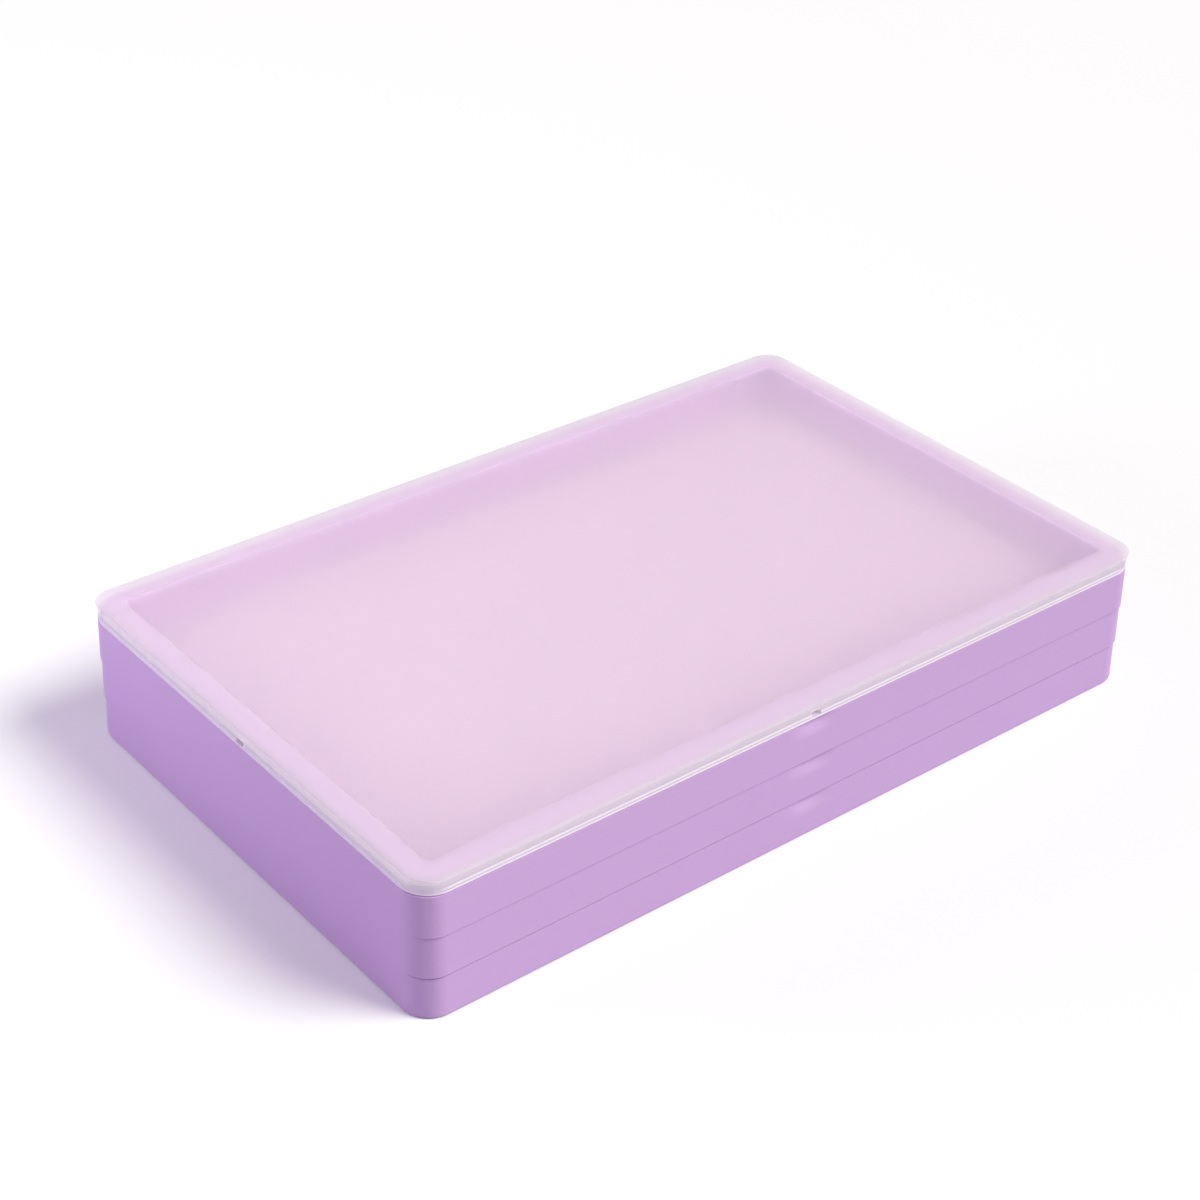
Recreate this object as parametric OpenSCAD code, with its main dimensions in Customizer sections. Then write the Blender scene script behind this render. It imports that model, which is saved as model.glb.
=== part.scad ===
// Wet palette: three stacking trays under one frosted lid.
// Each tray carries a seal round its neck, and holds a sponge with a sheet of palette paper on it.
// Origin: middle of the underside. +X runs along the length, +Z points up.

/* [Body] */
// Length over the bottom edge of a tray
body_l = 322; // [240:1:420]
// Width over the bottom edge of a tray
body_w = 201.4; // [150:0.2:280]
// Height of the part of a tray that shows, which is also the pitch of the stack
tier_h = 16.05; // [14:0.05:24]
// Corner radius of a tray at its shoulder
corner_r = 9.8; // [8:0.1:12]
// How far the outer wall leans out on each side, from shoulder to bottom edge
wall_draft = 0.45; // [0.2:0.05:0.8]
// Rounding of the bottom edge of the middle and upper trays
tray_edge_r = 0.4; // [0.2:0.1:0.6]
// Rounding of the bottom edge of the base tray
base_edge_r = 1; // [0.4:0.1:1.4]

/* [Tray] */
// Height of the neck that the lid or the next tray drops over
neck_h = 4.75; // [4.4:0.05:5.5]
// Thickness of the neck wall
neck_t = 2; // [1.6:0.1:2.4]
// Distance from the shoulder's outer edge to the well's mouth
rim_w = 9.4; // [9:0.1:12]
// Thickness of the flat rim
rim_t = 2; // [1.5:0.1:2.5]
// Chamfer round the top of the neck, which leads the lid or the next tray on
lead_in = 0.5; // [0.2:0.1:0.8]
// Thickness of the ledge that the neck stands on
ledge_t = 2; // [1.5:0.1:3]
// Thickness of the well's walls
well_wall_t = 1.8; // [1.4:0.1:2.2]
// Corner radius of the well
well_corner_r = 2; // [1.5:0.1:4]
// Thickness of the well's floor
floor_t = 2; // [1.5:0.1:2.5]
// Height of the floor's underside above the bottom edge
floor_lift = 1; // [0.6:0.1:1.5]

/* [Floor ribs] */
// Number of ribs along the floor, which keep water under the whole sponge
rib_count = 5; // [3:2:7]
// Distance from rib to rib
rib_pitch = 25.1; // [15:0.1:27]
// Width of a rib
rib_w = 2; // [1:0.1:3]
// Height of a rib
rib_h = 0.8; // [0.5:0.1:1.2]
// Gap between the end of a rib and the well's wall
rib_end_gap = 12; // [4:1:30]

/* [Gussets] */
// Number of gussets under each long side of the rim
long_gussets = 6; // [2:2:10]
// Number of gussets under each short side of the rim
short_gussets = 4; // [2:1:6]
// Thickness of a gusset
gusset_t = 1.2; // [0.8:0.1:1.6]

/* [Thumb scallop] */
// Width of the scallop's round outline on the wall
scallop_w = 20; // [14:1:26]
// How far the scallop reaches below the shoulder
scallop_h = 6; // [4:0.5:8]
// Greatest depth of the scallop's dish
scallop_depth = 1.3; // [0.8:0.1:1.5]

/* [Lid] */
// Height of the lid from its bottom edge to its top
lid_h = 6.3; // [5.9:0.1:7]
// How far the lid's lip stands back from the tray's shoulder
lid_inset = 0.3; // [0.1:0.1:0.5]
// Thickness of the lid's skirt at its lip
skirt_t = 1.5; // [1.3:0.1:1.8]
// Height of the lip round the bottom of the lid
lip_h = 1.9; // [1.6:0.1:2.2]
// How far the lip stands out of the skirt above it
lip_out = 0.35; // [0.2:0.05:0.5]
// Height of the fine groove that parts the lip into two beads, above the bottom edge
lip_groove_z = 1; // [0.7:0.1:1.2]
// Width of the lip's groove
lip_groove_w = 0.3; // [0.2:0.05:0.4]
// Depth of the lip's groove
lip_groove_d = 0.25; // [0.1:0.05:0.4]
// Height of the edge bead at the top of the lid
top_bead_h = 1.9; // [1.6:0.1:2.2]
// Rounding of the lid's top edge
top_edge_r = 0.8; // [0.4:0.1:1.2]

/* [Catches] */
// Length of the catch bead inside the middle of each side of a skirt
catch_l = 16; // [8:1:24]
// How far the catch bead stands out of the skirt
catch_out = 0.2; // [0.1:0.05:0.25]
// Height of the catch bead
catch_h = 0.8; // [0.6:0.1:1]
// How far the nub that holds the bead stands out of the neck
nub_out = 0.15; // [0.05:0.05:0.2]
// Height of the nub
nub_h = 0.6; // [0.4:0.1:0.8]
// Width of the slot in the lid over each catch
slot_w = 4.2; // [3:0.1:8]
// Height of the slot
slot_h = 1; // [0.6:0.1:1.4]
// Height of the slot's lower edge above the lid's bottom edge
slot_z = 1.4; // [1:0.1:2]

/* [Seal] */
// Height of the groove round the neck
seal_groove_h = 1.6; // [1.2:0.1:2]
// Depth of the groove round the neck
seal_groove_d = 0.9; // [0.6:0.1:1.2]
// Height of the groove's lower face above the shoulder
seal_groove_z = 1.9; // [1.5:0.1:2.2]

/* [Sponge and paper] */
// Thickness of the sponge
sponge_t = 4; // [3:0.5:6]
// Thickness of the palette paper
paper_t = 0.2; // [0.1:0.05:0.3]
// How far the paper stands back from the sponge's edge
paper_inset = 1; // [0.5:0.5:4]

/* [Clearances] */
// Gap between a neck and the skirt that drops over it
neck_clear = 0.4; // [0.3:0.05:0.6]
// Gap between a well and the well that hangs into it
nest_clear = 0.8; // [0.5:0.1:1.2]
// Gap between a catch bead and the nub over it
catch_clear = 0.1; // [0.05:0.05:0.2]
// Gap between the seal's nose and the skirt round it
seal_clear = 0.2; // [0.1:0.05:0.25]
// Gap between the seal and the faces of its groove
seal_seat_clear = 0.05; // [0.02:0.01:0.1]
// Gap between the sponge and the well's walls
sponge_clear = 0.8; // [0.4:0.1:2]

/* [Hidden] */
$fn = 96;

LILAC = [0.77, 0.66, 0.84];
FROST = [0.93, 0.84, 0.93, 0.6];
SILICONE = [0.86, 0.80, 0.90];
SPONGE = [0.95, 0.93, 0.88];
PAPER = [0.94, 0.90, 0.93];

// Thickness of the slices that a hull spans, which is too small to show
slice = 0.01;
// How far a cut runs past the face that it opens
over = 1;

// The outline of a tray at its shoulder, and the corner centres that every outline shares
top_l = body_l - 2 * wall_draft;
top_w = body_w - 2 * wall_draft;
centre_x = top_l / 2 - corner_r;
centre_y = top_w / 2 - corner_r;

// Distances outwards from the line through the corner centres
lid_u = corner_r - lid_inset;
socket_u = lid_u - skirt_t;
neck_u = socket_u - neck_clear;
neck_in_u = neck_u - neck_t;

// Heights in a tray, from its bottom edge
tray_h = tier_h + neck_h;
floor_z = floor_lift + floor_t;
rib_z = floor_z + rib_h;
well_h = tray_h - floor_z;

// The well narrows enough for the next one to hang inside it
well_lean = (well_wall_t + nest_clear) / tier_h;
mouth_l = top_l - 2 * rim_w;
mouth_w = top_w - 2 * rim_w;

// Heights of the tiers and of the lid in the stack
middle_z = tier_h;
upper_z = 2 * tier_h;
lid_z = 3 * tier_h;
lid_plate_t = lid_h - neck_h;

// Points of a round edge about [u, z], from one angle to another
function arc(u, z, r, from, to, steps = 4) = [
    for (i = [0:steps])
        let (a = from + (to - from) * i / steps)
        [u + r * cos(a), z + r * sin(a)]
];

// Half the well's width less half the mouth's, at a height in the tray
function lean_at(z) = well_lean * (tray_h - z);

// A section swept round the outline: its x runs outwards from the corner centres
module sweep_round() {
    for (turn = [0, 180]) rotate([0, 0, turn]) {
        translate([centre_x, centre_y, 0]) {
            rotate([90, 0, 0]) linear_extrude(height = 2 * centre_y) children();
            rotate_extrude(angle = 90) children();
        }
        translate([-centre_x, centre_y, 0]) {
            rotate([90, 0, 90]) linear_extrude(height = 2 * centre_x) children();
            rotate([0, 0, 90]) rotate_extrude(angle = 90) children();
        }
    }
}

// A flat plate between the corner centres, which closes the middle of a swept section
module middle_plate(z, t) {
    translate([-centre_x, -centre_y, z]) cube([2 * centre_x, 2 * centre_y, t]);
}

// A rectangle with round corners
module round_rectangle(l, w, r) {
    square([l - 2 * r, w], center = true);
    square([l, w - 2 * r], center = true);
    for (x = [-1, 1], y = [-1, 1]) translate([x * (l / 2 - r), y * (w / 2 - r)]) circle(r);
}

// The four corner posts of a thin slice of the well, at a height and with a wall's thickness added
module well_slice(z, grow, r) {
    x = mouth_l / 2 - lean_at(z) + grow - r;
    y = mouth_w / 2 - lean_at(z) + grow - r;
    for (sx = [-1, 1], sy = [-1, 1]) translate([sx * x, sy * y, z]) cylinder(h = slice, r = r, $fn = 32);
}

// The well as a leaning block from one height to another
module well_block(from, to, grow, r) {
    hull() {
        well_slice(from, grow, r);
        well_slice(to - slice, grow, r);
    }
}

// The section of a tray's outer wall, shoulder, neck and rim
module tray_section(edge_r) {
    bottom_u = corner_r + wall_draft;
    groove_z = tier_h + seal_groove_z;
    polygon(concat(
        [[socket_u, 0]],
        arc(bottom_u - edge_r, edge_r, edge_r, -90, 0),
        [
            [corner_r, tier_h],
            [neck_u, tier_h],
            [neck_u, groove_z],
            [neck_u - seal_groove_d, groove_z],
            [neck_u - seal_groove_d, groove_z + seal_groove_h],
            [neck_u, groove_z + seal_groove_h],
            [neck_u, tray_h - lead_in],
            [neck_u - lead_in, tray_h],
            [0, tray_h],
            [0, tray_h - rim_t],
            [neck_in_u, tray_h - rim_t],
            [neck_in_u, tier_h - ledge_t],
            [socket_u, tier_h - ledge_t]
        ]
    ));
}

// One gusset between the well and the outer wall, in the plane x = 0 and on the +Y side
module gusset(reach) {
    low = neck_h + neck_clear;
    translate([-gusset_t / 2, 0, low]) cube([gusset_t, reach, tier_h - ledge_t / 2 - low]);
}

// Every gusset under the rim
module gussets() {
    for (turn = [0, 180]) rotate([0, 0, turn]) {
        for (i = [0:long_gussets - 1])
            translate([(i - (long_gussets - 1) / 2) * 2 * centre_x / long_gussets, 0, 0])
                gusset(centre_y + socket_u + slice);
        for (i = [0:short_gussets - 1])
            rotate([0, 0, 90])
                translate([(i - (short_gussets - 1) / 2) * 2 * centre_y / short_gussets, 0, 0])
                    gusset(centre_x + socket_u + slice);
    }
}

// The ribs along the well's floor
module floor_ribs() {
    rib_l = mouth_l - 2 * lean_at(floor_z) - 2 * rib_end_gap;
    for (i = [0:rib_count - 1])
        translate([-rib_l / 2, (i - (rib_count - 1) / 2) * rib_pitch - rib_w / 2, floor_z - slice])
            cube([rib_l, rib_w, rib_h + slice]);
}

// The dish that lets a fingertip under the edge above, at the middle of the front
module thumb_scallop() {
    dish_r = (pow(scallop_w / 2, 2) + pow(scallop_depth, 2)) / (2 * scallop_depth);
    translate([0, -(top_w / 2 + dish_r - scallop_depth), tier_h - scallop_h + scallop_w / 2])
        sphere(r = dish_r);
}

// What stands at the middle of each side, with y = 0 on the line through the corner centres
module at_side_middles() {
    for (turn = [0, 180]) rotate([0, 0, turn]) {
        translate([0, centre_y, 0]) children();
        rotate([0, 0, 90]) translate([0, centre_x, 0]) children();
    }
}

// The catch beads inside the bottom of a skirt
module catch_beads() {
    at_side_middles() translate([-catch_l / 2, socket_u - catch_out, 0])
        cube([catch_l, catch_out + skirt_t / 2, catch_h]);
}

// The nubs on a tray's neck, which the catch beads go under
module catch_nubs() {
    at_side_middles() translate([-catch_l / 2, neck_u - neck_t / 2, tier_h + catch_h + catch_clear])
        cube([catch_l, nub_out + neck_t / 2, nub_h]);
}

// A tray, standing on its bottom edge
module tray(edge_r) {
    color(LILAC) {
        difference() {
            union() {
                sweep_round() tray_section(edge_r);
                middle_plate(tray_h - rim_t, rim_t);
                gussets();
                well_block(floor_lift, tray_h - rim_t / 2, well_wall_t, well_corner_r);
            }
            well_block(floor_z, tray_h + over, 0, well_corner_r);
            thumb_scallop();
        }
        floor_ribs();
        catch_beads();
        catch_nubs();
    }
}

// The silicone seal in the neck's groove, with its round nose outwards
module seal() {
    height = seal_groove_h - 2 * seal_seat_clear;
    inner_u = neck_u - seal_groove_d + seal_seat_clear;
    nose_u = socket_u - seal_clear;
    nose_r = height / 2;
    low = tier_h + seal_groove_z;
    color(SILICONE) sweep_round() polygon(concat(
        [[inner_u, low], [nose_u - nose_r, low]],
        arc(nose_u - nose_r, low + nose_r, nose_r, -90, 90, 8),
        [[inner_u, low + height]]
    ));
}

// The foam sponge, lying on the floor ribs
module sponge() {
    edge = lean_at(rib_z) + sponge_clear;
    color(SPONGE) translate([0, 0, rib_z]) linear_extrude(height = sponge_t)
        round_rectangle(mouth_l - 2 * edge, mouth_w - 2 * edge, well_corner_r);
}

// The sheet of palette paper, lying on the sponge
module paper() {
    edge = lean_at(rib_z) + sponge_clear + paper_inset;
    color(PAPER) translate([0, 0, rib_z + sponge_t]) linear_extrude(height = paper_t)
        round_rectangle(mouth_l - 2 * edge, mouth_w - 2 * edge, well_corner_r);
}

// The section of the lid's lip, skirt and top edge
module lid_section() {
    skirt_u = lid_u - lip_out;
    bead_u = lid_u - lip_out / 3;
    polygon(concat(
        [
            [socket_u, 0],
            [lid_u, 0],
            [lid_u, lip_groove_z],
            [lid_u - lip_groove_d, lip_groove_z],
            [lid_u - lip_groove_d, lip_groove_z + lip_groove_w],
            [lid_u, lip_groove_z + lip_groove_w],
            [lid_u, lip_h],
            [skirt_u, lip_h + lip_out],
            [skirt_u, lid_h - top_bead_h - lip_out],
            [bead_u, lid_h - top_bead_h]
        ],
        arc(bead_u - top_edge_r, lid_h - top_edge_r, top_edge_r, 0, 90),
        [
            [0, lid_h],
            [0, neck_h],
            [socket_u, neck_h]
        ]
    ));
}

// The frosted lid, standing on its bottom edge
module lid_shell() {
    difference() {
        union() {
            sweep_round() lid_section();
            middle_plate(neck_h, lid_plate_t);
        }
        at_side_middles() translate([-slot_w / 2, socket_u - over, slot_z])
            cube([slot_w, skirt_t + 2 * over, slot_h]);
    }
    catch_beads();
}

module base_tray() tray(base_edge_r);
module base_seal() seal();
module base_sponge() sponge();
module base_paper() paper();
module middle_tray() translate([0, 0, middle_z]) tray(tray_edge_r);
module middle_seal() translate([0, 0, middle_z]) seal();
module middle_sponge() translate([0, 0, middle_z]) sponge();
module middle_paper() translate([0, 0, middle_z]) paper();
module upper_tray() translate([0, 0, upper_z]) tray(tray_edge_r);
module upper_seal() translate([0, 0, upper_z]) seal();
module upper_sponge() translate([0, 0, upper_z]) sponge();
module upper_paper() translate([0, 0, upper_z]) paper();
module lid() color(FROST) translate([0, 0, lid_z]) lid_shell();

base_tray();
base_seal();
base_sponge();
base_paper();
middle_tray();
middle_seal();
middle_sponge();
middle_paper();
upper_tray();
upper_seal();
upper_sponge();
upper_paper();
lid();
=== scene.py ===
"""Wet palette: three lilac trays stacked under a frosted lid, each with its seal, sponge and paper."""

import logging
import math
from abc import ABC, abstractmethod
from collections.abc import Iterable, Sequence
from dataclasses import dataclass, replace
from enum import Enum
from typing import Union

import bmesh
import bpy
from mathutils import Matrix, Quaternion, Vector, noise


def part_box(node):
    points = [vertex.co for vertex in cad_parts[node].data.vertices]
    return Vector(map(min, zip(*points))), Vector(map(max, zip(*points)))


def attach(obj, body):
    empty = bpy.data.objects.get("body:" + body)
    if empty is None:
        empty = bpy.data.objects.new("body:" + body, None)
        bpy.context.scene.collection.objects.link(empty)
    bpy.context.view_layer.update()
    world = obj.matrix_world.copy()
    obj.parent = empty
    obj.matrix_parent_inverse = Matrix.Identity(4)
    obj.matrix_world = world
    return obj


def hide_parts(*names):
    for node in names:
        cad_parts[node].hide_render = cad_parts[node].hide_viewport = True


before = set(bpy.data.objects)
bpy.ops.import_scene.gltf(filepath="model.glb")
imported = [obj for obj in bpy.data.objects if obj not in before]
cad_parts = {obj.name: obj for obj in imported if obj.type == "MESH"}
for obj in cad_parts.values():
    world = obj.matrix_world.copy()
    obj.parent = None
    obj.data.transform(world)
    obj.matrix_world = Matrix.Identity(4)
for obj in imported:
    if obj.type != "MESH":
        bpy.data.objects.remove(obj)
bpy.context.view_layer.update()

log = logging.getLogger("wet_palette")

MM = 0.001
MERGE = 0.001 * MM
CORNER_STEPS = 14
CREASE = math.radians(40)
WHITE = (1.0, 1.0, 1.0)

Colour = tuple[float, float, float]
Place = tuple[float, float, float]
Value = Union[float, tuple, "Wire"]


class Body(Enum):
    """The bodies that the pieces ride on, from the bottom of the stack up."""

    BASE = "base"
    MIDDLE = "middle"
    UPPER = "upper"
    LID = "lid"


class Slot(Enum):
    """The record's material slots."""

    TRAY = "lilac_plastic"
    LID = "frosted_plastic"
    SEAL = "seal_silicone"
    SPONGE = "sponge_foam"
    PAPER = "palette_paper"


class Join(Enum):
    """What a tool mesh does to a piece."""

    FUSE = "UNION"
    CUT = "DIFFERENCE"


# ---------------------------------------------------------------- shader maths


def shade(colour: Colour, by: float) -> Colour:
    """A colour made lighter or darker by a factor."""
    return tuple(min(1.0, part * by) for part in colour)


@dataclass(frozen=True)
class Wire:
    """The output of a node, with the arithmetic that the finishes use.

    Args:
        graph: the material's graph, which the new Math nodes join.
        socket: the output socket, or None for a node that ends the graph.
    """

    graph: "Graph"
    socket: bpy.types.NodeSocket | None

    def _math(self, operation: str, first: Value, second: Value = 0.0) -> "Wire":
        """A Math node on two values."""
        return self.graph.node("ShaderNodeMath", {"operation": operation}, {0: first, 1: second})

    def __add__(self, other: Value) -> "Wire":
        """self + other."""
        return self._math("ADD", self, other)

    __radd__ = __add__

    def __sub__(self, other: Value) -> "Wire":
        """self - other."""
        return self._math("SUBTRACT", self, other)

    def __rsub__(self, other: Value) -> "Wire":
        """other - self."""
        return self._math("SUBTRACT", other, self)

    def __mul__(self, other: Value) -> "Wire":
        """self * other."""
        return self._math("MULTIPLY", self, other)

    __rmul__ = __mul__

    def __abs__(self) -> "Wire":
        """abs(self)."""
        return self._math("ABSOLUTE", self)

    def wrapped(self, low: float, high: float) -> "Wire":
        """self brought into the range from low to high by whole turns."""
        settings = {"operation": "WRAP"}
        return self.graph.node("ShaderNodeMath", settings, {0: self, 1: high, 2: low})

    def ramp(self, low: float, high: float) -> "Wire":
        """A smooth step from 0 at low to 1 at high."""
        values = {"Value": self, "From Min": low, "From Max": high}
        return self.graph.node("ShaderNodeMapRange", {"interpolation_type": "SMOOTHSTEP"}, values)


class Graph:
    """The node tree of one material or world, built up a node at a time."""

    def __init__(self, owner: bpy.types.ID) -> None:
        """Clears the owner's node tree.

        Args:
            owner: the material or the world that has the node tree.
        """
        owner.use_nodes = True
        self.tree = owner.node_tree
        self.tree.nodes.clear()

    def node(self, kind: str, settings: dict[str, str | bool] | None = None,
             values: dict[str | int, Value] | None = None, out: str | int = 0) -> Wire:
        """Adds a node.

        Args:
            kind: the node's type.
            settings: the node's own properties.
            values: what goes into each socket, by its name or number: a number, a colour or a wire.
            out: which output to return.

        Returns:
            The output that was asked for.
        """
        made = self.tree.nodes.new(kind)
        for name, setting in (settings or {}).items():
            setattr(made, name, setting)
        for name, value in (values or {}).items():
            self.feed(made.inputs[name], value)
        return Wire(self, made.outputs[out] if made.outputs else None)

    def feed(self, socket: bpy.types.NodeSocket, value: Value) -> None:
        """Links a wire to a socket, or sets the socket to a number or a colour.

        Args:
            socket: the input socket.
            value: the wire, number, vector or colour.
        """
        if isinstance(value, Wire):
            self.tree.links.new(value.socket, socket)
        elif isinstance(value, tuple) and socket.type == "RGBA":
            socket.default_value = (*value[:3], 1.0)
        else:
            socket.default_value = value

    def here(self) -> Wire:
        """The place of a point in the shared frame, in metres."""
        return self.node("ShaderNodeTexCoord", out="Object")

    def axis(self, name: str) -> Wire:
        """One coordinate of a point in the shared frame."""
        return self.node("ShaderNodeSeparateXYZ", None, {0: self.here()}, out=name)

    def stretched(self, scale: Place) -> Wire:
        """The place of a point, with each axis scaled by itself."""
        return self.node("ShaderNodeMapping", None, {"Vector": self.here(), "Scale": scale})

    def speckle(self, size: float, detail: float = 2.0, roughness: float = 0.5,
                place: Wire | None = None) -> Wire:
        """Soft noise whose lumps are about a size in metres across."""
        values = {"Vector": place or self.here(), "Scale": 1 / size, "Detail": detail, "Roughness": roughness}
        return self.node("ShaderNodeTexNoise", None, values)

    def cells(self, size: float) -> Wire:
        """How far a point is from the middle of its cell, for cells about a size in metres across."""
        return self.node("ShaderNodeTexVoronoi", None, {"Vector": self.here(), "Scale": 1 / size}, "Distance")

    def mixed(self, share: Value, first: Value, second: Value) -> Wire:
        """A colour that is first where share is 0 and second where it is 1."""
        return self.node("ShaderNodeMix", {"data_type": "RGBA"}, {0: share, 6: first, 7: second}, out=2)

    def varied(self, share: Wire, colour: Colour, by: float) -> Wire:
        """A colour that runs from a little darker where share is 0 to as much lighter where it is 1."""
        return self.mixed(share, shade(colour, 1 - by), shade(colour, 1 + by))

    def bump(self, height: Wire, depth: float) -> Wire:
        """A normal bumped by a height from 0 to 1, where 1 stands for a depth in metres."""
        return self.node("ShaderNodeBump", None, {"Height": height, "Distance": depth, "Strength": 1.0})

    def surface(self, **sockets: Value) -> None:
        """Ends the graph in a Principled shader, whose sockets are named with underscores for spaces."""
        self.node("ShaderNodeOutputMaterial", None, {"Surface": self.principled(**sockets)})

    def principled(self, **sockets: Value) -> Wire:
        """A Principled shader, whose sockets are named with underscores for spaces."""
        values = {name.replace("_", " "): value for name, value in sockets.items()}
        return self.node("ShaderNodeBsdfPrincipled", None, values)

    def glowing(self, surface: Wire, colour: Value, share: Value) -> None:
        """Ends the graph in a surface through which some of the light from behind shows.

        Args:
            surface: the shader of the surface.
            colour: the colour that the light takes on its way through.
            share: how much of it comes through, from 0 to 1.
        """
        through = self.node("ShaderNodeBsdfTranslucent", None, {"Color": colour})
        mixed = self.node("ShaderNodeMixShader", None, {0: share, 1: surface, 2: through})
        self.node("ShaderNodeOutputMaterial", None, {"Surface": mixed})


# ---------------------------------------------------------------- finishes


class Finish(ABC):
    """A finish with a name, which builds its own material."""

    name: str

    @abstractmethod
    def dress(self, graph: Graph) -> None:
        """Fills the material's graph."""

    def material(self) -> bpy.types.Material:
        """Builds the material.

        Returns:
            The material.
        """
        made = bpy.data.materials.new(self.name)
        self.dress(Graph(made))
        return made


@dataclass(frozen=True)
class TrayPlastic(Finish):
    """Satin lilac polypropylene with a fine moulded grain, faint flow marks and lengthwise scuffs."""

    name: str = "tray_plastic"
    colour: Colour = (0.63, 0.43, 0.715)
    flow: float = 0.025
    flow_size: float = 0.045
    grain: float = 0.00045
    grain_depth: float = 0.000012
    scuff_size: float = 0.004
    scuff_stretch: Place = (0.15, 1.0, 1.0)
    scuff_range: tuple[float, float] = (0.62, 0.8)
    scuff_share: float = 0.12
    scuff_light: float = 1.18
    roughness: float = 0.46
    grain_roughness: float = 0.1
    scuff_roughness: float = 0.06

    def dress(self, graph: Graph) -> None:
        """Fills the material's graph.

        Args:
            graph: the empty graph.
        """
        clouds = graph.speckle(self.flow_size, detail=3)
        grain = graph.speckle(self.grain, detail=2)
        lengthwise = graph.stretched(self.scuff_stretch)
        scuffs = graph.speckle(self.scuff_size, detail=4, roughness=0.7, place=lengthwise)
        rubbed = scuffs.ramp(*self.scuff_range)
        tint = graph.varied(clouds, self.colour, self.flow)
        graph.surface(
            Base_Color=graph.mixed(rubbed * self.scuff_share, tint, shade(self.colour, self.scuff_light)),
            Roughness=self.roughness + self.grain_roughness * (grain - 0.5) + self.scuff_roughness * rubbed,
            Normal=graph.bump(grain, self.grain_depth),
            IOR=1.49,
            Subsurface_Weight=0.12,
            Subsurface_Scale=0.0012,
            Subsurface_Radius=(1.0, 0.7, 1.0),
        )


@dataclass(frozen=True, kw_only=True)
class LidPlastic(Finish):
    """What the lid's two finishes share: a milky colour with a faint mottle, and a fine frost."""

    milk: Colour
    roughness: float
    mottle_size: float = 0.009
    mottle_share: float = 0.06
    mottle_dark: float = 0.7
    frost: float = 0.0007
    frost_depth: float = 0.000006
    frost_roughness: float = 0.08

    def mottled(self, graph: Graph) -> Wire:
        """The milky colour, a little darker in patches."""
        mottle = graph.speckle(self.mottle_size, detail=4, roughness=0.6)
        return graph.mixed(mottle * self.mottle_share, self.milk, shade(self.milk, self.mottle_dark))

    def frosted(self, graph: Graph) -> dict[str, Wire]:
        """The frosted skin.

        Args:
            graph: the material's graph.

        Returns:
            Its roughness and its normal, by the shader's socket names.
        """
        frost = graph.speckle(self.frost, detail=2)
        return {"Roughness": self.roughness + self.frost_roughness * (frost - 0.5),
                "Normal": graph.bump(frost, self.frost_depth)}


@dataclass(frozen=True, kw_only=True)
class MilkyPlastic(LidPlastic):
    """Milky translucent polypropylene: clearest under the window, and milkier along its edges.

    Args:
        foot_z: the height of the lid's lower edge.
        half_x: half the window's length.
        half_y: half its width.
    """

    foot_z: float
    half_x: float
    half_y: float
    name: str = "lid_plastic"
    milk: Colour = (0.96, 0.895, 0.965)
    roughness: float = 0.45
    through: Colour = (0.94, 0.915, 0.91)
    foot_body: float = 1.0
    lip_body: float = 0.78
    skirt_body: float = 0.64
    bead_body: float = 0.4
    top_body: float = 0.28
    under_body: float = 0.25
    glow: float = 0.35
    lip_glow: float = 0.15
    foot_h: float = 0.5 * MM
    lip_h: float = 1.8 * MM
    skirt_h: float = 4.2 * MM
    bead_h: float = 5.9 * MM
    blend: float = 0.25 * MM

    def milkiness(self, graph: Graph, height: Wire) -> Wire:
        """How much the plastic covers what is behind it.

        Args:
            graph: the material's graph.
            height: the height of a point over the lid's lower edge.

        Returns:
            The share that is covered, from 0 to 1.
        """
        zones = ((self.foot_h, self.foot_body, self.lip_body),
                 (self.lip_h, self.lip_body, self.skirt_body),
                 (self.skirt_h, self.skirt_body, self.bead_body),
                 (self.bead_h, self.bead_body, self.top_body))
        body = self.foot_body
        for level, before, after in zones:
            body = body + (after - before) * height.ramp(level, level + self.blend)
        inside = (self.half_x - abs(graph.axis("X"))).ramp(0.0, self.blend)
        inside = inside * (self.half_y - abs(graph.axis("Y"))).ramp(0.0, self.blend)
        return body + (self.under_body - body) * inside

    def dress(self, graph: Graph) -> None:
        """Fills the material's graph.

        Args:
            graph: the empty graph.
        """
        height = graph.axis("Z") - self.foot_z
        plastic = graph.principled(
            Base_Color=self.mottled(graph),
            IOR=1.49,
            Alpha=self.milkiness(graph, height),
            **self.frosted(graph),
        )
        above_lip = height.ramp(self.lip_h, self.lip_h + self.blend)
        graph.glowing(plastic, self.through, self.lip_glow + (self.glow - self.lip_glow) * above_lip)


@dataclass(frozen=True, kw_only=True)
class FrostedWindow(LidPlastic):
    """The top of the lid's window: the same plastic, textured so that it blurs what lies deeper."""

    name: str = "lid_window"
    milk: Colour = (0.965, 0.905, 0.97)
    roughness: float = 0.9
    clear: float = 0.8
    body: float = 0.75
    ior: float = 1.25
    speck_cell: float = 0.011
    speck_range: tuple[float, float] = (0.02, 0.05)
    patch_size: float = 0.035
    patch_range: tuple[float, float] = (0.56, 0.62)
    speck_share: float = 0.3
    speck_dark: float = 0.6

    def dress(self, graph: Graph) -> None:
        """Fills the material's graph.

        Args:
            graph: the empty graph.
        """
        specks = 1 - graph.cells(self.speck_cell).ramp(*self.speck_range)
        few = specks * graph.speckle(self.patch_size).ramp(*self.patch_range)
        tint = self.mottled(graph)
        graph.surface(
            Base_Color=graph.mixed(few * self.speck_share, tint, shade(self.milk, self.speck_dark)),
            IOR=self.ior,
            Transmission_Weight=self.clear,
            Alpha=self.body,
            **self.frosted(graph),
        )


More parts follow.
